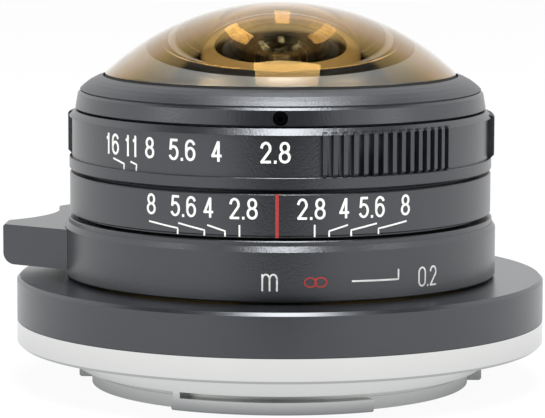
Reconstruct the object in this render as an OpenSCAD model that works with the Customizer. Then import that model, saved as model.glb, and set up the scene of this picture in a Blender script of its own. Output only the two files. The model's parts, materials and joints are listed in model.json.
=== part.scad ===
// Small manual fisheye lens on a three-lug bayonet, standing on its rear end.
// The optical axis is Z, the seat face of the bayonet is z = 0, and the front glass looks along +Z.
// The focusing index faces -Y. All sizes are in millimetres and all angles in degrees.
// Radii are built up from the guide sleeve: each ring stands a named wall or step inside or outside it.

/* [Guide sleeve] */
// Outer radius of the fixed sleeve inside the focusing ring, on which all other radii are built up
guide_r = 20.9; // [19:0.1:24]
// Wall of the sleeve
guide_wall = 1.35; // [1.1:0.05:1.5]
// Width of the foot that clamps it
foot_w = 2.6; // [2.4:0.1:3.2]
// Thickness of the foot
guide_foot_h = 1.6; // [1.2:0.1:2]

/* [Bayonet] */
// Width of the bright plate outside the foot of the sleeve
plate_land_w = 4.84; // [4.4:0.02:6]
// Thickness of the bright bayonet plate
plate_h = 2.6; // [2.2:0.1:4]
// Bevel around the seat face
plate_bevel = 0.3; // [0.1:0.1:0.6]
// How far the register spigot stands outside the guide sleeve
spigot_step = 1; // [0.6:0.05:1.6]
// Height of the register spigot
spigot_h = 2.37; // [1.8:0.01:3]
// How far the neck stands back under the spigot
neck_step = 1.6; // [1:0.1:2]
// Height of the groove between spigot and lugs
groove_h = 0.67; // [0.5:0.01:1.2]
// Reach of the lugs out of the neck
lug_reach = 1.55; // [1:0.05:1.9]
// Thickness of the lugs
lug_h = 1.32; // [1:0.02:2]
// Angle that one lug spans
lug_angle = 57; // [40:1:70]
// Number of lugs
lug_count = 3; // [2:1:4]
// Wall of the bayonet tube at the neck
tube_wall = 1.6; // [1.2:0.1:2]
// Width of the ledge that carries the light baffle
ledge_w = 2.3; // [2.1:0.1:3]
// Depth of the ledge below the seat face
ledge_drop = 1; // [0.6:0.1:1.4]

/* [Flange ring] */
// Height of the black flange ring
flange_h = 4.64; // [4.2:0.02:6]
// Bevel around its upper edge
flange_bevel = 0.34; // [0.1:0.02:0.8]

/* [Focusing ring] */
// Wall of the focusing ring
focus_wall = 2.2; // [2:0.05:3]
// Height of the focusing ring
focus_h = 6.28; // [6:0.02:8]
// Gap between flange ring and focusing ring
focus_gap = 0.21; // [0.1:0.01:0.4]
// Height of the bevel below the upper lip
focus_bevel_h = 0.58; // [0.3:0.02:1]
// Height of the upper lip
focus_lip_h = 0.52; // [0.3:0.02:1]
// How far the upper lip stands back
focus_lip_step = 0.4; // [0.2:0.05:0.6]
// Turn from the far stop to the near stop
focus_angle = 80; // [50:1:85]
// Travel of the lens unit over that turn
focus_travel = 0.8; // [0.4:0.1:1]
// Radius of the follower pins
follower_r = 0.8; // [0.6:0.05:0.9]
// Number of follower pins and cam grooves
follower_count = 3; // [3:1:3]
// Depth of the cam grooves inside the ring
cam_depth = 1.05; // [0.8:0.05:1.2]

/* [Focusing tab] */
// Reach of the two horns out of the focusing ring
tab_out = 6.75; // [5:0.05:8]
// Direction in which the tab points
tab_angle = 160; // [150:1:170]
// Height of the tab
tab_h = 4.3; // [3.6:0.1:4.6]
// Height of its underside above the foot of the ring
tab_lift = 0.75; // [0.4:0.05:1]
// Width at the ring
tab_root_w = 24.2; // [20:0.2:26]
// Width across the two horns
tab_tip_w = 20.4; // [17:0.2:22]
// Length of the flanks of the two horns
tab_horn_h = 2; // [1:0.1:3]
// Radius of the finger scoop
scoop_r = 12.5; // [10:0.5:18]
// Depth of the scoop below the tips of the horns
scoop_depth = 3; // [2:0.1:3.4]
// Rounding under the horns
tab_round = 1.2; // [0.4:0.1:1.8]

/* [Scale ring] */
// Wall of the fixed scale ring
scale_wall = 1.3; // [1:0.05:1.6]
// Height of the scale ring
scale_h = 4.34; // [4:0.02:6]
// Gap between focusing ring and scale ring
scale_gap = 0.45; // [0.3:0.05:0.8]
// How far the seat of the scale ring stands outside the bearing of the aperture ring
scale_seat_step = 0.7; // [0.5:0.05:1]

/* [Aperture ring] */
// How far the bearing inside the ring stands back from the guide sleeve
journal_step = 0.3; // [0.1:0.05:0.5]
// Wall of the ring behind the recessed band that carries the numbers
aperture_wall = 1.7; // [1.5:0.05:2]
// How far the lower lip stands out of the band
aperture_lip_step = 0.31; // [0.1:0.01:0.5]
// Height of the lower lip
aperture_lip_h = 1.26; // [0.8:0.02:2]
// Height of the whole ring
aperture_h = 6.22; // [6:0.02:8]
// Height of the cone above the band
aperture_cone_h = 0.65; // [0.4:0.05:1]
// How far the cone runs in
aperture_cone_in = 0.6; // [0.3:0.05:0.9]
// Gap between scale ring and aperture ring
aperture_gap = 0.38; // [0.2:0.02:0.6]
// Turn from the widest to the smallest aperture
aperture_angle = 45; // [30:1:54]
// How far the grip ribs stand out of the band
grip_step = 0.62; // [0.4:0.01:0.9]
// Width of one grip rib
grip_rib_w = 0.47; // [0.3:0.01:0.7]
// Step from rib to rib
grip_pitch = 2.73; // [2.2:0.01:3]
// Ribs in one grip pad
grip_ribs = 15; // [9:2:19]
// Number of grip pads
grip_pads = 4; // [3:1:4]

/* [Front] */
// How far the neck of the barrel stands back from the aperture ring's bearing
neck_in = 0.6; // [0.5:0.05:0.8]
// How far the front ring stands outside the bezel
front_step = 0.5; // [0.3:0.05:0.8]
// Height of the front ring
front_h = 1.91; // [1.7:0.01:2.4]
// Draft of the front ring's side
front_draft = 0.27; // [0.1:0.01:0.4]
// Bevel around its upper edge
front_bevel = 0.28; // [0.1:0.02:0.3]
// Gap between aperture ring and front ring
front_gap = 0.16; // [0.1:0.01:0.4]
// Radius of the hole for the locking screw
grub_hole_r = 0.775; // [0.6:0.025:0.8]
// Width of the bezel's lower edge outside the neck
bezel_step = 1.5; // [1.2:0.05:1.8]
// Height of the bezel above the front ring
bezel_h = 1.58; // [1.54:0.02:1.9]
// Height of the crease under the bezel
crease_h = 0.14; // [0.1:0.01:0.25]
// Depth of the crease
crease_in = 0.3; // [0.2:0.05:0.6]
// Width of the bezel's lip over the shoulder of the glass
bezel_lip_w = 0.35; // [0.2:0.05:0.5]

/* [Front glass] */
// Radius of the dome's outer sphere
dome_sphere_r = 27.3; // [26:0.1:29]
// Wall of the cup around the dome
cup_wall = 0.58; // [0.5:0.02:0.8]
// Height of the dome's ground edge
dome_edge_h = 1.48; // [1.2:0.02:1.5]
// Width of the ground shoulder that the bezel holds
dome_shoulder_w = 0.6; // [0.4:0.05:1]
// Height of the polished dome's rim above that shoulder
dome_rim_h = 0.53; // [0.3:0.01:0.8]
// Radius of the hollow under the dome
dome_hollow_r = 10.2; // [9.8:0.1:10.8]
// Thickness of the dome on the axis
dome_middle_h = 1.7; // [1.4:0.1:2.4]
// How far the dome sits below the top of the front ring
dome_sink = 0.19; // [0.1:0.01:0.3]
// Thickness of the seal under the dome
seal_h = 0.3; // [0.2:0.05:0.5]

/* [Iris] */
// Radius of the circle of blade pivots
pivot_r = 7.4; // [7.2:0.05:7.5]
// Number of blades
blade_count = 7; // [7:1:7]
// Radius of the open aperture
blade_inner_r = 3.2; // [3.1:0.05:3.3]
// Outer radius of a blade
blade_outer_r = 6.2; // [6:0.05:6.3]
// Thickness of a blade
blade_h = 0.04; // [0.03:0.005:0.05]
// Turn of a blade between its limits
blade_turn = 20.5; // [16:0.5:20.5]
// Lean that lets the blades lie over each other
blade_lean = 7.97; // [7:0.01:8.5]
// Radius of the pins on a blade
blade_pin_r = 0.35; // [0.25:0.01:0.4]
// Thickness of the actuator ring
actuator_h = 0.7; // [0.5:0.05:0.8]
// Height of the room for the blades
blade_room_h = 1.65; // [1.6:0.05:1.9]

/* [Fits] */
// Radial clearance of a turning or sliding fit
run_fit = 0.05; // [0.03:0.01:0.08]
// Radial clearance of a piece that stays in its seat
seat_fit = 0.02; // [0.01:0.01:0.03]

/* [Hidden] */
$fn = 96;
// Overrun of cuts beyond the face they open
over = 0.5;
turn = 360;
front_side = -90;

// Radii of the outside, each a wall or a step from the one before
guide_foot_r = guide_r + foot_w;
plate_r = guide_foot_r + plate_land_w;
spigot_r = guide_r + spigot_step;
neck_r = spigot_r - neck_step;
lug_r = neck_r + lug_reach;
tube_bore_r = neck_r - tube_wall;
ledge_r = tube_bore_r - ledge_w;
focus_r = guide_r + run_fit + focus_wall;
journal_r = guide_r - journal_step;
scale_seat_r = journal_r + scale_seat_step;
scale_r = scale_seat_r + scale_wall;
aperture_band_r = journal_r + run_fit + aperture_wall;
aperture_lip_r = aperture_band_r + aperture_lip_step;
grip_r = aperture_band_r + grip_step;
front_neck_r = journal_r - neck_in;
bezel_r = front_neck_r + bezel_step;
front_r = bezel_r + front_step;
dome_fit = 0.02;
dome_cup_r = front_neck_r - cup_wall;
dome_r = dome_cup_r - dome_fit;
bezel_neck_r = bezel_r - crease_in;
bezel_lip_r = dome_r - bezel_lip_w;

// Heights of the outside, each stacked on the one below
z_groove = -spigot_h;
z_lug = z_groove - groove_h;
z_rear = z_lug - lug_h;
z_flange = plate_h;
z_flange_top = z_flange + flange_h;
z_focus = z_flange_top + focus_gap;
z_focus_top = z_focus + focus_h;
z_scale = z_focus_top + scale_gap;
z_scale_top = z_scale + scale_h;
z_aperture = z_scale_top + aperture_gap;
z_band = z_aperture + aperture_lip_h;
z_aperture_top = z_aperture + aperture_h;
z_cone = z_aperture_top - aperture_cone_h;
z_front = z_aperture_top + front_gap;
z_front_top = z_front + front_h;
z_crease_top = z_front_top + crease_h;

// Bayonet lugs, seen from the front: the first one faces the index
lug_middle = -92.2;
lug_bevel = 0.2;
web_angle = 2.1;
web_inset_angle = 0.6;
groove_undercut = 0.15;

// Blind hole for the camera's locking pin
lock_hole_start = -15;
lock_hole_r = 1.2;
lock_hole_h = 1.6;
lock_hole_step = 1.7;
lock_hole_ring_r = spigot_r + lock_hole_step;

// Small bevels
seam_in = 0.06;
foot_bevel = 0.2;
ring_bevel = 0.12;

// Guide sleeve and focusing tab
guide_short = 0.53;
z_foot_top = z_flange + guide_foot_h;
z_guide_top = z_focus_top - guide_short;
z_tab = z_focus + tab_lift;
tab_reach = focus_r + tab_out;
scoop_bottom = tab_reach - scoop_depth;
tab_root_u = sqrt(pow(focus_r, 2) - pow(tab_root_w / 2, 2));
tab_tip_u = tab_reach - tab_horn_h;

// Iris stack, hung from the foot of the aperture ring
play = 0.1;
z_actuator_top = z_aperture;
z_actuator = z_actuator_top - actuator_h;
z_iris_floor = z_actuator - blade_room_h;
blade_floor_share = 0.23;
z_blade = z_iris_floor + blade_floor_share * blade_room_h;
iris_base_h = 0.8;
z_iris_base = z_iris_floor - iris_base_h;
z_web = z_actuator_top + play;

// Barrel
barrel_r = guide_r - guide_wall - run_fit;
barrel_wall = 2.2;
barrel_bore_r = barrel_r - barrel_wall;
barrel_lift = 1.4;
z_barrel = z_flange + barrel_lift;
shoulder_out = 0.6;
shoulder_r = scale_seat_r + shoulder_out;
shoulder_h = scale_gap / 2;
core_bore_r = 9;
core_wall = 1.4;
core_r = core_bore_r + core_wall;
core_length = 13;
z_core = z_web - core_length;
journal_drop = 0.3;
z_journal = z_aperture - journal_drop;
hollow_roof_h = 0.9;
z_hollow_roof = z_actuator - play - hollow_roof_h;
land_gap = 0.05;

// Front group, stacked on the web of the barrel
web_h = 0.4;
stop_bore_r = 4.6;
z_third = z_web + web_h;
third_r = 6.4;
third_h = 2.8;
third_front_r = 25;
third_front_open_r = 5.4;
third_rear_r = 7;
third_rear_open_r = 4.4;
z_front_spacer = z_third + third_h;
front_spacer_h = 1.8;
front_spacer_bore_r = 5.6;
z_second = z_front_spacer + front_spacer_h;
second_r = 8.9;
second_clear_r = 8.1;
second_h = 1.6;
second_front_r = 14;
second_rear_r = 6.2;
second_rear_open_r = 5.4;
z_front_retainer = z_second + second_h;
retainer_wall = 1.3;
retainer_r = second_r + retainer_wall;
z_dome = z_front_top - dome_sink;
z_face = z_dome - seal_h;

// Dome, its seal and the bezel's outline as shares of its width and height
seal_w = 1.9;
seal_in = 0.2;
seal_outer_r = dome_r - seal_in;
seal_inner_r = seal_outer_r - seal_w;
dome_clear_r = dome_r - dome_shoulder_w;
z_shoulder = z_dome + dome_edge_h;
z_dome_rim = z_shoulder + dome_rim_h;
z_dome_centre = z_dome_rim - sqrt(pow(dome_sphere_r, 2) - pow(dome_clear_r, 2));
z_dome_top = z_dome_centre + dome_sphere_r;
z_hollow_centre = z_dome_top - dome_middle_h - dome_hollow_r;
cup_h = 0.98;
z_cup_top = z_dome + cup_h;
bezel_in_shares = [0.06, 0.19, 0.42, 0.69, 0.9, 1];
bezel_up_shares = [0.18, 0.37, 0.63, 0.85, 0.97, 1];
glass_gap = 0.04;

// Rear group, hung from the iris base
fourth_r = 5.4;
fourth_clear_r = 4.7;
fourth_h = 1.3;
fourth_front_r = 12;
fourth_rear_r = 9;
fourth_sink = 1.1;
z_fourth = z_iris_base - fourth_sink - fourth_h;
doublet_r = 6.6;
doublet_clear_r = 6;
doublet_front_h = 2.2;
doublet_rear_h = 0.6;
doublet_front_r = 10;
cement_r = 7.5;
doublet_back_r = 20;
fourth_room = 4.65;
z_doublet_top = z_fourth - fourth_room;
z_cement = z_doublet_top - doublet_front_h;
z_doublet = z_cement - doublet_rear_h;
rear_spacer_h = 3.3;
spacer_step_shares = [0.5, 0.7];
z_seventh_top = z_doublet - rear_spacer_h;
seventh_r = 7.4;
seventh_clear_r = 6.7;
seventh_h = 1.5;
seventh_front_r = 14;
seventh_rear_r = 30;
z_seventh = z_seventh_top - seventh_h;
rear_retainer_h = 1.5;
z_cell = z_seventh - rear_retainer_h;
cell_wall = 1.2;
cell_tail_r = seventh_r + cell_wall;
cell_collar_h = 1;
cell_step_shares = [0.37, 0.65];

// Focusing: cam grooves, followers and stop
cam_start = 60;
cam_middle = cam_start + focus_angle / 2;
cam_clear = run_fit;
cam_end_angle = 2.6;
cam_floor_r = guide_r + cam_depth;
cam_run_r = guide_r + cam_depth / 2;
cam_half_rise = focus_travel / 2;
cam_tilt = atan(cam_half_rise / (cam_run_r * sin(focus_angle / 2)));
z_cam = z_focus + focus_h / 2;
z_follower = z_cam - cam_half_rise;
follower_end_gap = 0.1;
stop_pin_r = 0.45;
stop_pin_step = 1.2;
stop_pin_ring_r = guide_r + stop_pin_step;
stop_pin_up = 0.85;
stop_pin_down = 2.6;
stop_slot_clear = 0.07;
stop_slot_h = 1.15;
stop_start = 20;
stop_end_angle = 1.5;

// Iris kinematics: each blade swings on a leaning axis and its drive pin runs in a slot of the actuator
blade_step = turn / blade_count;
drive_lead = 77.14;
blade_start = -6;
blade_end = 82.5;
blade_fan_share = 1.5;
lobe_r = 0.75;
blade_axis = [0, -sin(blade_lean), cos(blade_lean)];
blade_pivot = [pivot_r, 0, 0];
drive_flat = [pivot_r * cos(drive_lead), pivot_r * sin(drive_lead)];
drive_rest = [drive_flat[0], drive_flat[1] * cos(blade_lean), drive_flat[1] * sin(blade_lean)];
drive_mid_h = z_actuator + actuator_h / 2 - z_blade;
pin_end_gap = 0.05;
pivot_pin_h = 1.05;
iris_bore_r = 3.5;
actuator_bore_r = 3.6;
actuator_room = 0.4;
actuator_r = core_bore_r - actuator_room;
slot_fit = 0.07;
slot_steps = 12;

// Drive arm from the aperture ring to the actuator
drive_side = 90;
arm_w = 4;
arm_in = 1.4;
arm_reach = journal_r - arm_in;
fork_w = 1.3;
fork_h = 2.3;
fork_inner_r = arm_reach - fork_w;
drive_pin_r = 0.6;
drive_pin_over = 0.3;
drive_pin_sink = 0.15;
drive_pin_inner_r = fork_inner_r - drive_pin_over;
drive_pin_outer_r = aperture_band_r - drive_pin_sink;
drive_pin_share = 0.58;
z_drive_pin = z_aperture + drive_pin_share * aperture_lip_h;
window_margin = 0.3;
window_in = 0.4;
window_angle = 1.5;
fork_window_angle = 0.9;

// Relief under the front glass
relief_margin = 0.3;
relief_rim_w = 2.3;
relief_floor_h = 0.5;
relief_inner_r = retainer_r + relief_rim_w;
relief_outer_r = seal_inner_r - relief_margin;
z_relief = z_actuator + fork_h + window_margin + relief_floor_h;

// Fasteners
recess_share = 0.6;
mount_screw_count = 4;
mount_screw_start = 45;
mount_screw_in = 2.4;
mount_screw_ring_r = guide_foot_r + mount_screw_in;
mount_screw_r = 0.85;
mount_head_r = 1.5;
mount_head_h = 0.65;
mount_screw_h = 6.4;
sleeve_screw_count = 3;
sleeve_screw_start = 15;
sleeve_screw_step = 1.4;
sleeve_screw_ring_r = guide_r + sleeve_screw_step;
sleeve_screw_r = 0.5;
sleeve_head_r = 0.9;
sleeve_head_h = 0.4;
sleeve_screw_h = 3.4;
baffle_screw_start = 30;
baffle_screw_in = 1.1;
baffle_screw_ring_r = ledge_r + baffle_screw_in;
baffle_screw_h = 2.3;
baffle_h = 0.9;
baffle_bore_r = 9.6;
tab_screw_spread = 16;
tab_screw_r = 0.5;
tab_head_r = 0.9;
tab_head_h = 0.5;
tab_head_sink = 0.15;
tab_screw_step = 2.05;
tab_screw_reach = focus_r + tab_screw_step;
recess_w = 0.3;
recess_h = 0.3;
grub_r = grub_hole_r - seat_fit;
grub_sink = 0.7;
grub_lift = 0.05;
grub_socket_r = 0.35;
grub_socket_h = 0.6;

// Place of the first grip pad beside the index
grip_first = 30.5;

black = "#2b2b2d";
steel = "#c9cbcd";
brass = "#b79a5a";
glass = "#9db6c8";

// How far a spherical surface of this radius rises over a disc
function sag(surface_r, disc_r) = surface_r - sqrt(pow(surface_r, 2) - pow(disc_r, 2));

// Vector turned about an axis of unit length
function turned(v, axis, angle) =
    v * cos(angle) + cross(axis, v) * sin(angle) + axis * (axis * v) * (1 - cos(angle));

// Middle of a drive pin as the actuator sees it, from 0 at the open stop to 1 at the closed stop
function drive_point(share) =
    let (up = [0, 0, drive_mid_h - drive_rest[2]],
         swung = blade_pivot + turned(drive_rest + up - blade_pivot, blade_axis, blade_turn * share),
         back = -aperture_angle * share)
    [swung[0] * cos(back) - swung[1] * sin(back), swung[0] * sin(back) + swung[1] * cos(back)];

function slot_way(share) =
    let (step = drive_point(share + 1 / slot_steps) - drive_point(share - 1 / slot_steps))
    step / norm(step);

function slot_side(share, side) =
    drive_point(share) + side * (blade_pin_r + slot_fit) * [-slot_way(share)[1], slot_way(share)[0]];

module around(count, start = 0) {
    for (i = [0:count - 1])
        rotate([0, 0, start + i * turn / count])
            children();
}

// Tube or plain ring between two heights
module ring(outer_r, inner_r, low, high) {
    translate([0, 0, low])
        difference() {
            cylinder(r = outer_r, h = high - low);
            translate([0, 0, -over])
                cylinder(r = inner_r, h = high - low + 2 * over);
        }
}

// Part of a ring, starting at an azimuth
module sector(outer_r, inner_r, low, high, start, angle) {
    rotate([0, 0, start])
        rotate_extrude(angle = angle)
            translate([inner_r, low])
                square([outer_r - inner_r, high - low]);
}

// Cap of a sphere that rises from a disc at z = 0
module cap(disc_r, surface_r) {
    rise = sag(surface_r, disc_r);
    intersection() {
        cylinder(r = disc_r, h = rise + over);
        translate([0, 0, rise - surface_r])
            sphere(r = surface_r);
    }
}

// Hollow of a concave surface whose rim lies at z = 0 and which rises upwards
module hollow(open_r, surface_r) {
    translate([0, 0, sag(surface_r, open_r) - surface_r])
        sphere(r = surface_r);
}

// Countersunk screw with its head's face at z = 0 and its shank along +Z
module countersunk(shank_r, head_r, head_h, length) {
    difference() {
        union() {
            cylinder(r1 = head_r, r2 = shank_r, h = head_h);
            cylinder(r = shank_r, h = length);
        }
        for (side = [0, 90])
            rotate([0, 0, side])
                translate([-recess_share * head_r, -recess_w / 2, -over])
                    cube([2 * recess_share * head_r, recess_w, recess_h + over]);
    }
}

// The hole that such a screw fills
module countersunk_hole(shank_r, head_r, head_h, length) {
    cylinder(r1 = head_r + seat_fit, r2 = shank_r, h = head_h);
    translate([0, 0, -over])
        cylinder(r = head_r + seat_fit, h = over);
    cylinder(r = shank_r + seat_fit, h = length + seat_fit);
}

// Plate, spigot, neck and lugs turned in one piece, with the groove and the gaps between the lugs milled out
module bayonet_mount() {
    gap_angle = turn / lug_count - lug_angle;
    lug_start = lug_middle - lug_angle / 2;
    z_step = z_groove - groove_h / 4;
    color(steel)
    difference() {
        rotate_extrude()
            polygon([[ledge_r, z_flange], [plate_r, z_flange], [plate_r, plate_bevel],
                [plate_r - plate_bevel, 0], [spigot_r, 0], [spigot_r, z_step], [lug_r, z_step],
                [lug_r, z_rear + lug_bevel], [lug_r - lug_bevel, z_rear], [tube_bore_r, z_rear],
                [tube_bore_r, -ledge_drop], [ledge_r, -ledge_drop]]);
        sector(spigot_r + over, neck_r - groove_undercut, z_lug, z_groove,
            lug_start + web_inset_angle + web_angle, turn - web_angle);
        around(lug_count, lug_start + lug_angle)
            sector(spigot_r + over, neck_r, z_rear - over, z_lug + groove_h / 2, 0, gap_angle);
        around(mount_screw_count, mount_screw_start)
            translate([mount_screw_ring_r, 0, 0])
                countersunk_hole(mount_screw_r, mount_head_r, mount_head_h, mount_screw_h);
        around(sleeve_screw_count, baffle_screw_start)
            translate([baffle_screw_ring_r, 0, -ledge_drop - baffle_h])
                cylinder(r = sleeve_screw_r + seat_fit, h = baffle_screw_h + seat_fit);
        rotate([0, 0, lock_hole_start])
            translate([lock_hole_ring_r, 0, -over])
                cylinder(r = lock_hole_r, h = lock_hole_h + over);
    }
}

module bayonet_screws() {
    color(steel)
    around(mount_screw_count, mount_screw_start)
        translate([mount_screw_ring_r, 0, 0])
            countersunk(mount_screw_r, mount_head_r, mount_head_h, mount_screw_h);
}

module flange_ring() {
    color(black)
    difference() {
        rotate_extrude()
            polygon([[guide_foot_r + seat_fit, z_flange], [plate_r - seam_in, z_flange],
                [plate_r, z_flange + seam_in], [plate_r, z_flange_top - flange_bevel],
                [plate_r - flange_bevel, z_flange_top], [guide_r + seat_fit, z_flange_top],
                [guide_r + seat_fit, z_foot_top + seat_fit],
                [guide_foot_r + seat_fit, z_foot_top + seat_fit]]);
        around(mount_screw_count, mount_screw_start)
            translate([mount_screw_ring_r, 0, 0])
                cylinder(r = mount_screw_r + seat_fit, h = mount_screw_h + seat_fit);
        around(sleeve_screw_count, sleeve_screw_start)
            translate([sleeve_screw_ring_r, 0, z_flange])
                cylinder(r = sleeve_screw_r + seat_fit, h = sleeve_screw_h + seat_fit);
        rotate([0, 0, stop_start])
            translate([stop_pin_ring_r, 0, z_flange_top - stop_pin_down])
                cylinder(r = stop_pin_r, h = stop_pin_down + over);
    }
}

module guide_sleeve() {
    color(brass)
    difference() {
        rotate_extrude()
            polygon([[guide_r - guide_wall, z_flange], [guide_foot_r, z_flange],
                [guide_foot_r, z_foot_top], [guide_r, z_foot_top],
                [guide_r, z_guide_top], [guide_r - guide_wall, z_guide_top]]);
        around(follower_count, cam_start)
            for (up = [0, focus_travel])
                translate([guide_r - guide_wall - over, 0, z_follower + up])
                    rotate([0, 90, 0])
                        cylinder(r = follower_r + run_fit, h = guide_wall + 2 * over);
        around(follower_count, cam_start)
            translate([guide_r - guide_wall - over, -follower_r - run_fit, z_follower])
                cube([guide_wall + 2 * over, 2 * (follower_r + run_fit), focus_travel]);
        around(sleeve_screw_count, sleeve_screw_start)
            translate([sleeve_screw_ring_r, 0, z_flange])
                countersunk_hole(sleeve_screw_r, sleeve_head_r, sleeve_head_h, sleeve_screw_h);
    }
}

module sleeve_screws() {
    color(steel)
    around(sleeve_screw_count, sleeve_screw_start)
        translate([sleeve_screw_ring_r, 0, z_flange])
            countersunk(sleeve_screw_r, sleeve_head_r, sleeve_head_h, sleeve_screw_h);
}

module rear_baffle() {
    color(black)
    difference() {
        ring(tube_bore_r - run_fit, baffle_bore_r, -ledge_drop - baffle_h, -ledge_drop);
        around(sleeve_screw_count, baffle_screw_start)
            translate([baffle_screw_ring_r, 0, -ledge_drop - baffle_h])
                countersunk_hole(sleeve_screw_r, sleeve_head_r, sleeve_head_h, baffle_screw_h);
    }
}

module baffle_screws() {
    color(steel)
    around(sleeve_screw_count, baffle_screw_start)
        translate([baffle_screw_ring_r, 0, -ledge_drop - baffle_h])
            countersunk(sleeve_screw_r, sleeve_head_r, sleeve_head_h, baffle_screw_h);
}

module focus_stop_pin() {
    color(steel)
    rotate([0, 0, stop_start])
        translate([stop_pin_ring_r, 0, z_flange_top - stop_pin_down])
            cylinder(r = stop_pin_r, h = stop_pin_down + stop_pin_up);
}

// Ring with three cam grooves, each part of a slightly leaning ring groove, so that turning
// it lifts the followers at an almost steady rate
module focus_ring() {
    half_turn = focus_angle / 2 + cam_end_angle;
    groove_h = 2 * (follower_r + cam_clear);
    color(black)
    difference() {
        rotate_extrude()
            polygon([[guide_r + run_fit, z_focus], [focus_r - foot_bevel, z_focus],
                [focus_r, z_focus + foot_bevel], [focus_r, z_focus_top - focus_lip_h - focus_bevel_h],
                [focus_r - focus_lip_step + foot_bevel / 4, z_focus_top - focus_lip_h],
                [focus_r - focus_lip_step, z_focus_top - focus_lip_h],
                [focus_r - focus_lip_step, z_focus_top - foot_bevel / 2],
                [focus_r - focus_lip_step - foot_bevel / 2, z_focus_top],
                [guide_r + run_fit, z_focus_top]]);
        around(follower_count, cam_middle)
            translate([0, 0, z_cam])
                rotate([cam_tilt, 0, 0])
                    rotate([0, 0, -half_turn])
                        rotate_extrude(angle = 2 * half_turn)
                            translate([guide_r - over, -groove_h / 2])
                                square([cam_depth + over, groove_h]);
        sector(stop_pin_ring_r + stop_pin_r + stop_slot_clear,
            stop_pin_ring_r - stop_pin_r - stop_slot_clear, z_focus - over, z_focus + stop_slot_h,
            stop_start - stop_end_angle, focus_angle + 2 * stop_end_angle);
        tab_screw_places()
            tab_screw_hole();
    }
}

// Places of the two screws that hold the tab, seen from inside the ring
module tab_screw_places() {
    for (side = [-1, 1])
        rotate([0, 0, tab_angle + side * tab_screw_spread / 2])
            translate([0, 0, z_tab + tab_h / 2])
                rotate([0, 90, 0])
                    children();
}

module tab_screw_hole() {
    translate([0, 0, guide_r])
        cylinder(r = tab_head_r + seat_fit, h = run_fit + tab_head_sink + tab_head_h);
    cylinder(r = tab_screw_r + seat_fit, h = tab_screw_reach + seat_fit);
}

// Crescent with two horns and a finger scoop between them
module focus_tab() {
    color(black)
    difference() {
        rotate([0, 0, tab_angle])
            intersection() {
                rotate_extrude()
                    polygon(concat([[focus_r - over, z_tab], [tab_reach - tab_round, z_tab]],
                        [for (a = [-75:15:0])
                            [tab_reach - tab_round * (1 - cos(a)), z_tab + tab_round * (1 + sin(a))]],
                        [[tab_reach, z_tab + tab_h - foot_bevel], [tab_reach - foot_bevel, z_tab + tab_h],
                        [focus_r - over, z_tab + tab_h]]));
                translate([0, 0, z_tab - over])
                    linear_extrude(tab_h + 2 * over)
                        polygon([[tab_root_u, -tab_root_w / 2], [tab_tip_u, -tab_tip_w / 2],
                            [tab_reach + over, -tab_tip_w / 2], [tab_reach + over, tab_tip_w / 2],
                            [tab_tip_u, tab_tip_w / 2], [tab_root_u, tab_root_w / 2]]);
            }
        rotate([0, 0, tab_angle])
            translate([scoop_bottom + scoop_r, 0, z_tab - over])
                cylinder(r = scoop_r, h = tab_h + 2 * over);
        translate([0, 0, z_tab - over])
            cylinder(r = focus_r + seat_fit / 2, h = tab_h + 2 * over);
        tab_screw_places()
            cylinder(r = tab_screw_r + seat_fit, h = tab_screw_reach + seat_fit);
    }
}

module focus_tab_screws() {
    color(steel)
    tab_screw_places() {
        translate([0, 0, guide_r + run_fit + tab_head_sink])
            difference() {
                cylinder(r = tab_head_r, h = tab_head_h);
                translate([-tab_head_r, -recess_w / 2, -over])
                    cube([2 * tab_head_r, recess_w, recess_h / 2 + over]);
            }
        translate([0, 0, guide_r + run_fit + tab_head_sink + tab_head_h])
            cylinder(r = tab_screw_r, h = tab_screw_reach - guide_r - run_fit - tab_head_sink - tab_head_h);
    }
}

module lens_barrel() {
    arm_half = asin(arm_w / 2 / core_bore_r) + window_angle;
    fork_half = asin(arm_w / 2 / fork_inner_r) + fork_window_angle;
    color(black)
    difference() {
        rotate_extrude()
            polygon([[core_bore_r, z_core], [core_r, z_core], [core_r, z_hollow_roof],
                [barrel_bore_r, z_hollow_roof], [barrel_bore_r, z_barrel], [barrel_r, z_barrel],
                [barrel_r, z_scale - shoulder_h], [shoulder_r, z_scale - shoulder_h],
                [shoulder_r, z_scale], [scale_seat_r, z_scale],
                [scale_seat_r, z_journal], [journal_r, z_journal],
                [journal_r, z_front], [front_neck_r, z_front], [front_neck_r, z_cup_top],
                [dome_cup_r, z_cup_top], [dome_cup_r, z_face], [relief_outer_r, z_face],
                [relief_outer_r, z_relief], [relief_inner_r, z_relief], [relief_inner_r, z_face],
                [retainer_r + seat_fit, z_face], [retainer_r + seat_fit, z_front_retainer],
                [second_r + seat_fit, z_front_retainer], [second_r + seat_fit, z_front_spacer],
                [third_r + seat_fit, z_front_spacer], [third_r + seat_fit, z_third],
                [stop_bore_r, z_third], [stop_bore_r, z_web], [core_bore_r, z_web]]);
        sector(arm_reach + window_margin, core_bore_r - over, z_actuator - play, z_web,
            drive_side - arm_half, aperture_angle + 2 * arm_half);
        sector(journal_r + over, fork_inner_r - window_in, z_actuator - play,
            z_actuator + fork_h + window_margin, drive_side - fork_half, aperture_angle + 2 * fork_half);
        around(follower_count, cam_start)
            translate([barrel_bore_r - over, 0, z_follower])
                rotate([0, 90, 0])
                    cylinder(r = follower_r, h = barrel_wall + 2 * over);
    }
}

module follower_pins() {
    color(steel)
    around(follower_count, cam_start)
        translate([barrel_bore_r, 0, z_follower])
            rotate([0, 90, 0])
                cylinder(r = follower_r, h = cam_floor_r - follower_end_gap - barrel_bore_r);
}

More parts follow.
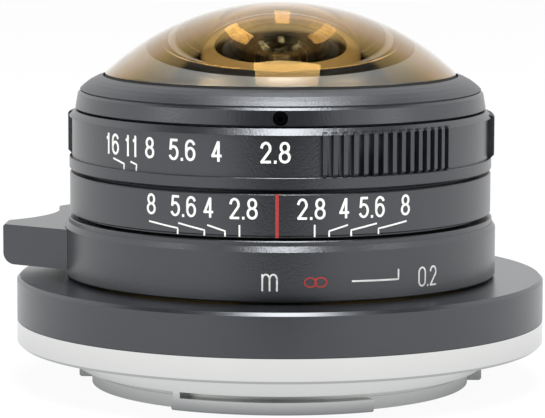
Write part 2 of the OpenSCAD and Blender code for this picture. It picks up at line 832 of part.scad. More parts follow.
module scale_ring() {
    color(black)
    rotate_extrude()
        polygon([[scale_seat_r + seat_fit, z_scale], [scale_r - ring_bevel, z_scale],
            [scale_r, z_scale + ring_bevel], [scale_r, z_scale_top - ring_bevel],
            [scale_r - ring_bevel, z_scale_top], [scale_seat_r + seat_fit, z_scale_top]]);
}

module front_ring() {
    color(black)
    difference() {
        rotate_extrude()
            polygon([[front_neck_r + seat_fit, z_front], [front_r - ring_bevel, z_front],
                [front_r, z_front + ring_bevel], [front_r - front_draft, z_front_top - front_bevel],
                [front_r - front_draft - front_bevel, z_front_top], [front_neck_r + seat_fit, z_front_top]]);
        lock_screw_place()
            cylinder(r = grub_hole_r, h = front_r + over);
    }
}

module lock_screw_place() {
    translate([0, 0, z_front + grub_hole_r + grub_lift])
        rotate([0, 90, front_side])
            children();
}

module front_lock_screw() {
    color(steel)
    lock_screw_place()
        difference() {
            translate([0, 0, front_neck_r + seat_fit])
                cylinder(r = grub_r, h = front_r - front_neck_r - grub_sink);
            translate([0, 0, front_r - grub_sink + seat_fit - grub_socket_h])
                cylinder(r = grub_socket_r, h = grub_socket_h + over, $fn = 6);
        }
}

module dome_bezel() {
    bezel_w = bezel_r - bezel_lip_r;
    color(black)
    rotate_extrude()
        polygon(concat([[front_neck_r + seat_fit, z_front_top], [bezel_neck_r, z_front_top],
            [bezel_neck_r, z_crease_top], [bezel_r, z_crease_top]],
            [for (i = [0:len(bezel_in_shares) - 1])
                [bezel_r - bezel_in_shares[i] * bezel_w, z_front_top + bezel_up_shares[i] * bezel_h]],
            [[bezel_lip_r, z_shoulder + glass_gap], [dome_r + glass_gap, z_shoulder + glass_gap],
            [dome_r + glass_gap, z_cup_top + seat_fit], [front_neck_r + seat_fit, z_cup_top + seat_fit]]));
}

module dome_element() {
    color(glass, 0.4)
    difference() {
        union() {
            translate([0, 0, z_dome])
                cylinder(r = dome_r, h = dome_edge_h);
            translate([0, 0, z_dome])
                cylinder(r = dome_clear_r, h = dome_edge_h + dome_rim_h);
            translate([0, 0, z_dome_rim])
                cap(dome_clear_r, dome_sphere_r);
        }
        translate([0, 0, z_hollow_centre])
            sphere(r = dome_hollow_r);
    }
}

module dome_seal() {
    color("#1d1d1e")
    ring(seal_outer_r, seal_inner_r, z_face, z_dome);
}

module second_element() {
    color(glass, 0.4)
    difference() {
        union() {
            translate([0, 0, z_second])
                cylinder(r = second_r, h = second_h);
            translate([0, 0, z_second + second_h])
                cap(second_clear_r, second_front_r);
        }
        translate([0, 0, z_second])
            hollow(second_rear_open_r, second_rear_r);
    }
}

module front_spacer() {
    color(black)
    ring(second_r, front_spacer_bore_r, z_front_spacer, z_second);
}

module third_element() {
    color(glass, 0.4)
    difference() {
        translate([0, 0, z_third])
            cylinder(r = third_r, h = third_h);
        translate([0, 0, z_third])
            hollow(third_rear_open_r, third_rear_r);
        translate([0, 0, z_front_spacer + third_front_r - sag(third_front_r, third_front_open_r)])
            sphere(r = third_front_r);
    }
}

module front_retainer() {
    color(black)
    ring(retainer_r, second_clear_r + land_gap, z_front_retainer, z_face);
}

module iris_base() {
    color(black)
    difference() {
        ring(core_bore_r - seat_fit, iris_bore_r, z_iris_base, z_iris_floor);
        around(blade_count)
            translate([pivot_r, 0, z_blade])
                rotate([blade_lean, 0, 0])
                    translate([0, 0, -pivot_pin_h - pin_end_gap])
                        cylinder(r = blade_pin_r + run_fit, h = pivot_pin_h);
    }
}

module fourth_element() {
    color(glass, 0.4)
    union() {
        translate([0, 0, z_fourth])
            cylinder(r = fourth_r, h = fourth_h);
        translate([0, 0, z_fourth + fourth_h])
            cap(fourth_clear_r, fourth_front_r);
        translate([0, 0, z_fourth])
            mirror([0, 0, 1])
                cap(fourth_clear_r, fourth_rear_r);
    }
}

module doublet_front() {
    color(glass, 0.4)
    difference() {
        union() {
            translate([0, 0, z_cement])
                cylinder(r = doublet_r, h = doublet_front_h);
            translate([0, 0, z_doublet_top])
                cap(doublet_clear_r, doublet_front_r);
        }
        translate([0, 0, z_cement])
            hollow(doublet_clear_r, cement_r);
    }
}

module doublet_rear() {
    color(glass, 0.4)
    union() {
        translate([0, 0, z_doublet])
            cylinder(r = doublet_r, h = doublet_rear_h);
        translate([0, 0, z_cement])
            cap(doublet_clear_r, cement_r);
        translate([0, 0, z_doublet])
            mirror([0, 0, 1])
                cap(doublet_clear_r, doublet_back_r);
    }
}

module rear_spacer() {
    color(black)
    rotate_extrude()
        polygon([[seventh_clear_r + land_gap, z_seventh_top], [seventh_r, z_seventh_top],
            [seventh_r, z_doublet], [doublet_clear_r + land_gap, z_doublet],
            [doublet_clear_r + land_gap, z_seventh_top + spacer_step_shares[1] * rear_spacer_h],
            [seventh_clear_r + land_gap, z_seventh_top + spacer_step_shares[0] * rear_spacer_h]]);
}

module seventh_element() {
    color(glass, 0.4)
    union() {
        translate([0, 0, z_seventh])
            cylinder(r = seventh_r, h = seventh_h);
        translate([0, 0, z_seventh_top])
            cap(seventh_clear_r, seventh_front_r);
        translate([0, 0, z_seventh])
            mirror([0, 0, 1])
                cap(seventh_clear_r, seventh_rear_r);
    }
}

module rear_retainer() {
    color(black)
    ring(seventh_r, seventh_clear_r + land_gap, z_cell, z_seventh);
}

module rear_cell() {
    color(black)
    rotate_extrude()
        polygon([[seventh_r + seat_fit, z_cell], [cell_tail_r, z_cell],
            [cell_tail_r, z_core - cell_collar_h], [core_r, z_core - cell_collar_h], [core_r, z_core],
            [core_bore_r - seat_fit, z_core], [core_bore_r - seat_fit, z_iris_base],
            [fourth_r + seat_fit, z_iris_base], [fourth_r + seat_fit, z_fourth],
            [fourth_clear_r + land_gap, z_fourth],
            [fourth_clear_r + land_gap, z_fourth - cell_step_shares[0] * fourth_room],
            [doublet_clear_r + land_gap, z_fourth - cell_step_shares[1] * fourth_room],
            [doublet_clear_r + land_gap, z_doublet_top], [doublet_r + seat_fit, z_doublet_top],
            [doublet_r + seat_fit, z_doublet], [seventh_r + seat_fit, z_doublet]]);
}

// Grip rib with a rounded head, standing on the band
module grip_rib() {
    rib_angle = turn * grip_rib_w / (2 * PI * grip_r);
    root_r = aperture_band_r - ring_bevel;
    head_in = grip_r - aperture_band_r;
    rotate([0, 0, -rib_angle / 2])
        rotate_extrude(angle = rib_angle)
            polygon([[root_r, z_band], [aperture_lip_r, z_band], [grip_r, z_band + head_in / 2],
                [grip_r, z_cone], [grip_r - head_in / 4, z_cone + head_in / 3],
                [aperture_band_r, z_cone + head_in / 2], [root_r, z_cone + head_in / 2]]);
}

module aperture_ring() {
    pad_step = turn / (grip_pads + 1);
    first_pad = front_side + grip_first;
    color(black)
    difference() {
        union() {
            rotate_extrude()
                polygon([[journal_r + run_fit, z_aperture], [aperture_lip_r - ring_bevel, z_aperture],
                    [aperture_lip_r, z_aperture + ring_bevel], [aperture_lip_r, z_band - seam_in],
                    [aperture_lip_r - seam_in, z_band], [aperture_band_r, z_band],
                    [aperture_band_r, z_cone], [aperture_lip_r, z_cone],
                    [aperture_lip_r - aperture_cone_in, z_aperture_top],
                    [journal_r + run_fit, z_aperture_top]]);
            for (pad = [0:grip_pads - 1])
                for (rib = [0:grip_ribs - 1])
                    rotate([0, 0, first_pad + pad * pad_step + (rib - (grip_ribs - 1) / 2) * grip_pitch])
                        grip_rib();
        }
        drive_pin_place()
            cylinder(r = drive_pin_r, h = drive_pin_outer_r);
    }
}

module drive_pin_place() {
    translate([0, 0, z_drive_pin])
        rotate([0, 90, drive_side])
            children();
}

module aperture_drive_pin() {
    color(steel)
    drive_pin_place()
        translate([0, 0, drive_pin_inner_r])
            cylinder(r = drive_pin_r, h = drive_pin_outer_r - drive_pin_inner_r);
}

// Ring with one curved slot per blade: the slots follow the path of the drive pins, so that the
// blades close at a steady rate as the aperture ring turns
module iris_actuator() {
    color(brass)
    difference() {
        union() {
            ring(actuator_r, actuator_bore_r, z_actuator, z_actuator_top);
            rotate([0, 0, drive_side]) {
                translate([actuator_r - over, -arm_w / 2, z_actuator])
                    cube([arm_reach - actuator_r + over, arm_w, actuator_h]);
                translate([fork_inner_r, -arm_w / 2, z_actuator])
                    cube([arm_reach - fork_inner_r, arm_w, fork_h]);
            }
        }
        around(blade_count)
            translate([0, 0, z_actuator - over]) {
                linear_extrude(actuator_h + 2 * over)
                    polygon(concat([for (i = [0:slot_steps]) slot_side(i / slot_steps, 1)],
                        [for (i = [slot_steps:-1:0]) slot_side(i / slot_steps, -1)]));
                for (end = [0, 1])
                    translate(drive_point(end))
                        cylinder(r = blade_pin_r + slot_fit, h = actuator_h + 2 * over);
            }
        drive_pin_place()
            cylinder(r = drive_pin_r + seat_fit, h = arm_reach + over);
        rotate([0, 0, drive_side])
            translate([fork_inner_r - over, -drive_pin_r - seat_fit, z_drive_pin])
                cube([arm_reach - fork_inner_r + 2 * over, 2 * (drive_pin_r + seat_fit), fork_h]);
    }
}

// Thin blade on a leaning pivot, with its drive pin upright in the actuator's slot
module aperture_blade(index) {
    color("#3a3a3c")
    rotate([0, 0, index * blade_step])
        translate([0, 0, z_blade]) {
            translate(blade_pivot)
                rotate([blade_lean, 0, 0]) {
                    translate([0, 0, -blade_h / 2])
                        linear_extrude(blade_h)
                            translate([-pivot_r, 0])
                                blade_outline();
                    translate([0, 0, -pivot_pin_h])
                        cylinder(r = blade_pin_r, h = pivot_pin_h);
                }
            translate(drive_rest)
                cylinder(r = blade_pin_r, h = z_actuator_top - z_blade - drive_rest[2] - pin_end_gap);
        }
}

module blade_outline() {
    union() {
        intersection() {
            difference() {
                circle(r = blade_outer_r);
                circle(r = blade_inner_r);
            }
            polygon(concat([[0, 0]],
                [for (i = [0:4])
                    let (a = blade_start + i * (blade_end - blade_start) / 4)
                    blade_fan_share * blade_outer_r * [cos(a), sin(a)]]));
        }
        for (a = [0, drive_lead])
            rotate(a) {
                translate([pivot_r, 0])
                    circle(r = lobe_r);
                translate([blade_outer_r - over, -lobe_r])
                    square([pivot_r - blade_outer_r + over, 2 * lobe_r]);
            }
    }
}

bayonet_mount();
bayonet_screws();
flange_ring();
guide_sleeve();
sleeve_screws();
rear_baffle();
baffle_screws();
focus_stop_pin();
focus_ring();
focus_tab();
focus_tab_screws();
lens_barrel();
follower_pins();
scale_ring();
front_ring();
front_lock_screw();
dome_bezel();
dome_element();
dome_seal();
second_element();
front_spacer();
third_element();
front_retainer();
iris_base();
fourth_element();
doublet_front();
doublet_rear();
rear_spacer();
seventh_element();
rear_retainer();
rear_cell();
aperture_ring();
aperture_drive_pin();
iris_actuator();
aperture_blade(0);  // aperture_blade_1
aperture_blade(1);  // aperture_blade_2
aperture_blade(2);  // aperture_blade_3
aperture_blade(3);  // aperture_blade_4
aperture_blade(4);  // aperture_blade_5
aperture_blade(5);  // aperture_blade_6
aperture_blade(6);  // aperture_blade_7
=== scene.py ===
# %% [markdown]
# # A small manual fisheye lens
#
# The object is a metal lens standing on its bayonet: a bright steel mount, a black flange, a
# focusing ring with a crescent tab, a ring of depth-of-field numbers, an aperture ring with pads
# of grip ribs, and a domed front glass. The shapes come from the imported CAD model, so this
# script adds what a shape alone can't say: finishes, printing, glass and light.

# %% Start the frame
import json
import math
import bmesh
import bpy
import numpy as np
from mathutils import Matrix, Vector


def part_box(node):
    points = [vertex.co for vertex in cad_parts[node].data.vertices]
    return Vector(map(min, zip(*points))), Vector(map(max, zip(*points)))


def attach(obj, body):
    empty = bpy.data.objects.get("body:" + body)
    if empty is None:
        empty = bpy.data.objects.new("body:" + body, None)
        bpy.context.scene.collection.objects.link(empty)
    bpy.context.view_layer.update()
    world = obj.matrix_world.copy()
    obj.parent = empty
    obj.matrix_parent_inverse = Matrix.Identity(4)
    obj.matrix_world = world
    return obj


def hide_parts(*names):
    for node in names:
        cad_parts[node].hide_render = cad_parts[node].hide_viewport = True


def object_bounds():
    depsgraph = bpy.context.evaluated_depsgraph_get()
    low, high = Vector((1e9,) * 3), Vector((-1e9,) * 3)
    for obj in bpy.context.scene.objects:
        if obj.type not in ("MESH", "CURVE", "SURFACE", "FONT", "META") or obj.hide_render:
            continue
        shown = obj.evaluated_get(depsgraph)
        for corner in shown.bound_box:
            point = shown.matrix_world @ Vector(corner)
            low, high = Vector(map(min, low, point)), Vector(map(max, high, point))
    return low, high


MM = 0.001
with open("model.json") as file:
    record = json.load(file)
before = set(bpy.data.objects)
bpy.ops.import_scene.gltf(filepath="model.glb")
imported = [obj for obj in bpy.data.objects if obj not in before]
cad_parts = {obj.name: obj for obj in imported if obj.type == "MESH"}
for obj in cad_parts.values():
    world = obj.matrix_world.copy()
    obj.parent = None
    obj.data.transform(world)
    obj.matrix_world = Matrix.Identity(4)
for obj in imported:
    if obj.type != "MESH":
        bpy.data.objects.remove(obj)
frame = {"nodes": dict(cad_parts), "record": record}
CAD_BOX = [list(corner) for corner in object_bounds()]
print("CAD box in mm:", [[round(v / MM, 2) for v in corner] for corner in CAD_BOX])


# %% [markdown]
# ## Small helpers
#
# Colours are written as the hex values that an image editor shows. Blender computes with
# linear light, so one function undoes the sRGB curve. A second function adds a node, sets it and
# joins it up in one line, which keeps each material readable. Two more put a thing into the
# scene and turn it, which the camera and the lamps both need.

# %% Colour and node helpers
def linear(hex_colour):
    """sRGB hex to linear RGBA: c/12.92 below 0.04045, else ((c + 0.055)/1.055) to the power 2.4."""
    srgb = np.array([int(hex_colour[i:i + 2], 16) for i in (1, 3, 5)]) / 255
    rgb = np.where(srgb <= 0.04045, srgb / 12.92, ((srgb + 0.055) / 1.055) ** 2.4)
    return (*(float(c) for c in rgb), 1.0)


def add_node(tree, kind, inputs=(), **settings):
    """Adds a node; inputs is {socket: a value, another node's output, or a node for its first output}."""
    node = tree.nodes.new(kind)
    for name, value in settings.items():
        setattr(node, name, value)
    for name, value in dict(inputs).items():
        if isinstance(value, bpy.types.Node):
            value = value.outputs[0]
        if isinstance(value, bpy.types.NodeSocket):
            tree.links.new(value, node.inputs[name])
        else:
            node.inputs[name].default_value = value
    return node


def new_material(name):
    """An empty material and its node tree."""
    material = bpy.data.materials.new(name)
    material.use_nodes = True
    material.node_tree.nodes.clear()
    return material, material.node_tree


# %% Scene helpers
def into_scene(name, data):
    """Makes an object from a mesh, a lamp or a camera and links it to the scene."""
    thing = bpy.data.objects.new(name, data)
    bpy.context.scene.collection.objects.link(thing)
    return thing


def turned(x_way, y_way, z_way, place):
    """A matrix whose columns are an object's own x, y and z directions and the place where it stands."""
    matrix = np.eye(4)
    matrix[:3, :3] = np.stack([x_way, y_way, z_way], axis=1)
    matrix[:3, 3] = place
    return Matrix(matrix.tolist())


WHITE = linear("#ffffff")
print("white in linear light:", WHITE)

# %% [markdown]
# ## Camera
#
# The photograph looks slightly down on the lens from 36 cm with a long focal length. The camera
# was worked out from the ellipses of the rings: a circle seen from above shows how steeply it is
# seen, and two circles of known distance show how far away the camera is. So the camera is
# placed by numbers in metres and radians and needs no aiming by hand.

# %% Camera
# The photograph's width in pixels, and the width of Blender's sensor
PHOTO_WIDTH, SENSOR_MM = 545, 36
# Distance from the axis, height over the mount's seat face, and focal length in pixels
DISTANCE, HEIGHT, FOCAL_PX = 359.89 * MM, 58.75 * MM, 3362.5
# Downwards, sideways and round the line of sight, in radians
PITCH, YAW, ROLL = 0.1231, -0.0023, 0.0028

forward = np.array([math.sin(YAW) * math.cos(PITCH), math.cos(YAW) * math.cos(PITCH), -math.sin(PITCH)])
level = np.array([math.cos(YAW), -math.sin(YAW), 0.0])
upright = np.cross(level, forward)
right = math.cos(ROLL) * level + math.sin(ROLL) * upright
up = math.cos(ROLL) * upright - math.sin(ROLL) * level

camera_data = bpy.data.cameras.new("camera")
camera_data.sensor_width = SENSOR_MM
camera_data.lens = FOCAL_PX * SENSOR_MM / PHOTO_WIDTH
camera_data.clip_start = 10 * MM
camera = into_scene("camera", camera_data)
camera.matrix_world = turned(right, up, -forward, (0, -DISTANCE, HEIGHT))
bpy.context.scene.camera = camera
print("lens", round(camera_data.lens, 1), "mm")

# %% [markdown]
# ## Studio
#
# A white light tent with an open top, and the dark room behind the camera. Gloss shows what
# stands around an object, so the directions matter more than the lamps: white cloth all round up
# to about 51 degrees gives the glass its veil and the rings their pale silhouettes, and the dark
# above it and the dark behind the camera leave the front of the black rings black. A world
# shader can do this without a single wall, because it knows in which direction a ray leaves.

# %% Where the surroundings are dark
# Height of a direction at the tent's upper edge, and half of the soft edge's width
TENT_TOP, TENT_EDGE = math.sin(math.radians(51)), 0.025
# The wedge behind the camera: its steepness, and where its dark begins and is full
WEDGE, ROOM_STARTS, ROOM_FULL = 1.7, -0.1, 0.35
DARK_ROOM, SOFT_FILL = "#303032", "#bcbec0"


def towards_camera(tree, apart, start, end):
    """How far a point or direction lies in the wedge on the -Y side: -y - WEDGE |x|, by a smooth
    step that is 0 below start and 1 above end."""
    wide = add_node(tree, "ShaderNodeMath", {0: apart.outputs["X"]}, operation="ABSOLUTE")
    depth = add_node(tree, "ShaderNodeMath", {0: wide, 1: WEDGE, 2: apart.outputs["Y"]},
                     operation="MULTIPLY_ADD")
    depth = add_node(tree, "ShaderNodeMath", {0: depth, 1: -1.0}, operation="MULTIPLY")
    return add_node(tree, "ShaderNodeMapRange", {"Value": depth, "From Min": start, "From Max": end},
                    interpolation_type="SMOOTHSTEP")


def rays_of(tree):
    """Light Path's node, and a flag for rays off gloss or through glass: the larger of its two flags."""
    rays = add_node(tree, "ShaderNodeLightPath")
    gloss = add_node(tree, "ShaderNodeMath", {0: rays.outputs["Is Glossy Ray"],
                     1: rays.outputs["Is Transmission Ray"]}, operation="MAXIMUM")
    return rays, gloss


# %% [markdown]
# The world answers each kind of ray in its own way. Rays off gloss and through glass see the
# tent and the dark room, diffuse rays get an even pale fill, and the camera sees plain white.

# %% World
bpy.context.scene.view_settings.view_transform = "Standard"
world = bpy.data.worlds.new("light_tent")
bpy.context.scene.world = world
world.use_nodes = True
world.node_tree.nodes.clear()
tree = world.node_tree
rays, gloss = rays_of(tree)
direction = add_node(tree, "ShaderNodeTexCoord").outputs["Generated"]
apart = add_node(tree, "ShaderNodeSeparateXYZ", {0: direction})
open_top = add_node(tree, "ShaderNodeMapRange", {"Value": apart.outputs["Z"],
                    "From Min": TENT_TOP - TENT_EDGE, "From Max": TENT_TOP + TENT_EDGE},
                    interpolation_type="SMOOTHSTEP")
room = towards_camera(tree, apart, ROOM_STARTS, ROOM_FULL)
dark = add_node(tree, "ShaderNodeMath", {0: open_top, 1: room}, operation="MAXIMUM")
cloth = add_node(tree, "ShaderNodeMix", {0: dark, 6: WHITE, 7: linear(DARK_ROOM)}, data_type="RGBA")
lit = add_node(tree, "ShaderNodeMix", {0: gloss, 6: linear(SOFT_FILL), 7: cloth.outputs[2]},
               data_type="RGBA")
seen = add_node(tree, "ShaderNodeMix", {0: rays.outputs["Is Camera Ray"], 6: lit.outputs[2], 7: WHITE},
                data_type="RGBA")
sky = add_node(tree, "ShaderNodeBackground", {"Color": seen.outputs[2], "Strength": 1.0})
add_node(tree, "ShaderNodeOutputWorld", {"Surface": sky})
print("world:", len(tree.nodes), "nodes")

# %% [markdown]
# The table is white paper. The camera sees it nearly as plain white, with a small share of the
# lit paper left in, so that the lens keeps its shadow and stands on something. Polished steel
# right above the table mostly mirrors the shade that the lens casts there, so the glow that rays
# off gloss see carries a painted shadow: darker near the lens and white further out. On the
# camera's side the table ends in the dark room.

# %% Table
# Radius in metres, number of sides, and the gap under the mount, so that no two faces coincide
TABLE_R, TABLE_SIDES, TABLE_GAP = 1.6, 96, 0.02 * MM
# Share of plain glow in what the camera, gloss and glass see, and the paper's own colour
PLAIN_SHARE, PAPER = 0.94, "#f4f4f4"
# Painted shadow in the glow that gloss sees: its colours by distance from the axis in mm
NEAR_PAINTED_SHADOW = ((19, "#84878a"), (36, "#e4e4e6"), (75, "#ffffff"))
# Where the table's dark begins and is full on the camera's side, in metres
EDGE_STARTS, EDGE_FULL = 0.07, 0.16

angles = np.linspace(0, 2 * math.pi, TABLE_SIDES, endpoint=False)
rim = np.stack([TABLE_R * np.cos(angles), TABLE_R * np.sin(angles),
                np.full(TABLE_SIDES, CAD_BOX[0][2] - TABLE_GAP)], axis=1)
floor_mesh = bpy.data.meshes.new("floor")
floor_mesh.from_pydata(rim.tolist(), [], [list(range(TABLE_SIDES))])
floor = into_scene("floor", floor_mesh)
print("table at", round(rim[0][2] / MM, 2), "mm")

# %% Table paper
white_table, tree = new_material("white_table")
rays, gloss = rays_of(tree)
place = add_node(tree, "ShaderNodeTexCoord").outputs["Object"]
reach = add_node(tree, "ShaderNodeVectorMath", {0: place}, operation="LENGTH").outputs["Value"]
# The glow's colour for gloss rays is a painted shadow of the lens: darkest under it, white beyond 75 mm
shade = linear(NEAR_PAINTED_SHADOW[0][1])
for (start, _), (end, colour) in zip(NEAR_PAINTED_SHADOW[:-1], NEAR_PAINTED_SHADOW[1:]):
    step = add_node(tree, "ShaderNodeMapRange", {"Value": reach, "From Min": start * MM,
                    "From Max": end * MM}, interpolation_type="SMOOTHSTEP")
    shade = add_node(tree, "ShaderNodeMix", {0: step, 6: shade, 7: linear(colour)},
                     data_type="RGBA").outputs[2]
light = add_node(tree, "ShaderNodeMix", {0: gloss, 6: WHITE, 7: shade}, data_type="RGBA")
glow = add_node(tree, "ShaderNodeEmission", {"Color": light.outputs[2], "Strength": 1.0})
paper = add_node(tree, "ShaderNodeBsdfDiffuse", {"Color": linear(PAPER)})
seen = add_node(tree, "ShaderNodeMath", {0: rays.outputs["Is Camera Ray"], 1: gloss}, operation="MAXIMUM")
share = add_node(tree, "ShaderNodeMath", {0: seen, 1: PLAIN_SHARE}, operation="MULTIPLY")
both = add_node(tree, "ShaderNodeMixShader", {0: share, 1: paper, 2: glow})
apart = add_node(tree, "ShaderNodeSeparateXYZ", {0: place})
edge = towards_camera(tree, apart, EDGE_STARTS, EDGE_FULL)
hidden = add_node(tree, "ShaderNodeMath", {0: edge, 1: gloss}, operation="MULTIPLY")
beyond = add_node(tree, "ShaderNodeEmission", {"Color": linear(DARK_ROOM), "Strength": 1.0})
table = add_node(tree, "ShaderNodeMixShader", {0: hidden, 1: both, 2: beyond})
add_node(tree, "ShaderNodeOutputMaterial", {"Surface": table})
floor_mesh.materials.append(white_table)
print("paper:", len(tree.nodes), "nodes")


# %% [markdown]
# The lamps are softboxes. The large one overhead draws the bright lines on the bevels, one more
# in front of it lights their near sides, and a small one at each side lights the rings' flanks.
# Light Path has no flag for a single lamp, but a lamp has visibility switches of its own: the
# front box isn't seen through glass, where it would add a spot, and two windows are seen through
# glass alone, where they make the amber patches inside the dome.

# %% Softboxes
def softbox(name, place, aim, size, watts):
    """An area lamp at place, turned so that its -Z points at aim: z is place minus aim at length 1,
    x is y cross z at length 1, and y is z cross x."""
    lamp = bpy.data.lights.new(name, "AREA")
    lamp.shape = "RECTANGLE"
    lamp.size, lamp.size_y = size
    lamp.energy = watts
    away = np.array(place, float) - np.array(aim, float)
    away /= np.linalg.norm(away)
    side = np.cross((0.0, 1.0, 0.0), away)
    side /= np.linalg.norm(side)
    box = into_scene(name, lamp)
    box.matrix_world = turned(side, np.cross(away, side), away, place)
    box.visible_camera = False
    print(name, "energy", watts)
    return box


# The overhead boxes hang a little to the right of the axis and point straight down, in metres
OVERHEAD_X, OVERHEAD_Z, TOP_Y, FRONT_Y = 0.022, 0.62, -0.115, -0.48
softbox("softbox_top", place=(OVERHEAD_X, TOP_Y, OVERHEAD_Z), aim=(OVERHEAD_X, TOP_Y, 0),
        size=(0.22, 0.51), watts=4.3)
front_box = softbox("softbox_front", place=(OVERHEAD_X, FRONT_Y, OVERHEAD_Z),
                    aim=(OVERHEAD_X, FRONT_Y, 0), size=(0.22, 0.22), watts=1.9)
front_box.visible_transmission = False

# The side boxes and the windows look at a point inside the lens
LENS_MIDDLE = (0, 0, 0.02)
for side, name in ((-1, "softbox_left"), (1, "softbox_right")):
    softbox(name, place=(side * 0.437, -0.213, 0.278), aim=LENS_MIDDLE, size=(0.28, 0.17), watts=0.3)
for side, name, watts in ((-1, "window_left", 3.8), (1, "window_right", 2.2)):
    pane = softbox(name, place=(side * 0.434, -0.212, 0.12), aim=LENS_MIDDLE,
                   size=(0.24, 0.42), watts=watts)
    pane.visible_glossy = pane.visible_diffuse = False


# %% [markdown]
# ## Finishes
#
# Nearly every finish here is a colour that wanders a little and a grain that pushes the surface,
# so two helpers make these once. Both patterns are noise on Object coordinates, in metres, so a
# cell's size in millimetres is the same on every piece.

# %% Uneven colour and grain
def noise_at(tree, cell_mm, **inputs):
    """A noise over the piece's own place, with cells of cell_mm: its scale is 1 / cell size in metres."""
    place = add_node(tree, "ShaderNodeTexCoord").outputs["Object"]
    return add_node(tree, "ShaderNodeTexNoise", {"Vector": place, "Scale": 1 / (cell_mm * MM), **inputs})


def uneven(tree, hex_colour, cell_mm, detail, darkest, lightest):
    """A colour that wanders between darkest and lightest times hex_colour, in linear light."""
    wander = noise_at(tree, cell_mm, Detail=detail)
    base = np.array(linear(hex_colour)[:3])
    low, high = ((*np.minimum(base * share, 1), 1) for share in (darkest, lightest))
    return add_node(tree, "ShaderNodeMix", {0: wander, 6: low, 7: high}, data_type="RGBA").outputs[2]


def grain(tree, cell_mm, depth_mm, strength=1.0, **inputs):
    """A bump whose height is a noise of cell_mm cells times depth_mm."""
    cells = noise_at(tree, cell_mm, **inputs)
    bump = add_node(tree, "ShaderNodeBump", {"Height": cells, "Strength": strength,
                    "Distance": depth_mm * MM})
    return bump.outputs["Normal"]


# %% [markdown]
# Black anodised aluminium is bead-blasted first, so its surface is a field of tiny dimples, and
# the dyed oxide film over it reflects like a dielectric: dark when seen square on, pale at a
# grazing angle. A noise bump gives the grain, and the Fresnel of the film gives the pale
# silhouettes. Real beads leave dimples of about 0.09 mm, too fine to show in this render, so the
# rings and the bezel have cells of 0.2 mm.

# %% Anodised aluminium
OXIDE_IOR, OXIDE_TINT = 1.55, linear("#f0f4fa")


def anodised(name, hex_colour, roughness, bead_mm, dimple_mm):
    """Dyed oxide film over blasted aluminium: a noise of bead_mm cells pushes the surface by
    dimple_mm, and the dye wanders by a tenth over 4 mm."""
    material, tree = new_material(name)
    film = add_node(tree, "ShaderNodeBsdfPrincipled", {
        "Base Color": uneven(tree, hex_colour, 4.0, 3.0, 0.9, 1.1), "Roughness": roughness,
        "IOR": OXIDE_IOR, "Specular IOR Level": 1.0, "Specular Tint": OXIDE_TINT,
        "Normal": grain(tree, bead_mm, dimple_mm, Detail=1.5, Roughness=0.6)})
    add_node(tree, "ShaderNodeOutputMaterial", {"Surface": film})
    return material


# The rings and the barrel: a fine lively grain with fairly crisp highlights
BLACK = anodised("black_anodised_aluminium", "#1b1c1f", 0.28, 0.2, 0.022)
# The bezel: blasted coarser, so its highlight is a broad soft glow
BEZEL_BLACK = anodised("coarse_blasted_bezel", "#1b1c1f", 0.40, 0.2, 0.03)
# The flange: smoother and a little bluer, so it mirrors the barrel softly
FLANGE_BLACK = anodised("satin_black_flange", "#1a1c20", 0.26, 0.10, 0.005)
print("anodised:", BLACK.name, BEZEL_BLACK.name, FLANGE_BLACK.name)


# %% [markdown]
# Paint, rubber and ground glass are plain coats with a grain. The parts inside the barrel are
# painted matt black, so that no stray light gets through. The seal is a black rubber ring, matt
# and slightly soft looking. The flat back of the dome, round its hollow, is ground: the rough
# glass throws light back in a pale, bluish sheen, which a half metallic shader gives more evenly
# than real scattering in glass would, and without its noise.

# %% Plain coats with a grain
def coat(name, hex_colour, cell_mm, strength, **inputs):
    """One shader over a noise bump of cell_mm cells, 0.01 mm deep times strength."""
    material, tree = new_material(name)
    skin = add_node(tree, "ShaderNodeBsdfPrincipled", {
        "Base Color": linear(hex_colour), "Normal": grain(tree, cell_mm, 0.01, strength), **inputs})
    add_node(tree, "ShaderNodeOutputMaterial", {"Surface": skin})
    return material


# Sprayed paint: returns hardly any light at any angle
MATT = coat("matt_black_paint", "#141414", 0.12, 0.6, Roughness=0.75, IOR=1.45)
# Moulded rubber: as dark, with a faint broad sheen
RUBBER = coat("black_rubber", "#1a1a1a", 0.2, 0.4, Roughness=0.6)
# Glass ground with fine grit, drawn in cells of 0.1 mm: a pale frost between the bezel and the hollow
GROUND_GLASS = coat("ground_glass_edge", "#a9bccf", 0.1, 0.6,
                    **{"Roughness": 0.36, "Metallic": 0.5, "IOR": 2.0, "Specular IOR Level": 1.0})
print("coats:", MATT.name, RUBBER.name, GROUND_GLASS.name)

# %% [markdown]
# The bayonet is turned from stainless steel and lightly polished. The lathe leaves rings about
# 0.15 mm apart round the axis, so the bump follows the distance from the axis and the height,
# not a grain in one direction. Where the groove is milled in, nearer to the axis than the
# polished faces, the steel stays satin and mirrors the dark and the bright round it less sharply.

# %% Turned metals
# Roughness of a milled face, and the width in mm over which it passes into the polished one
SATIN, SATIN_EDGE = 0.42, 0.2


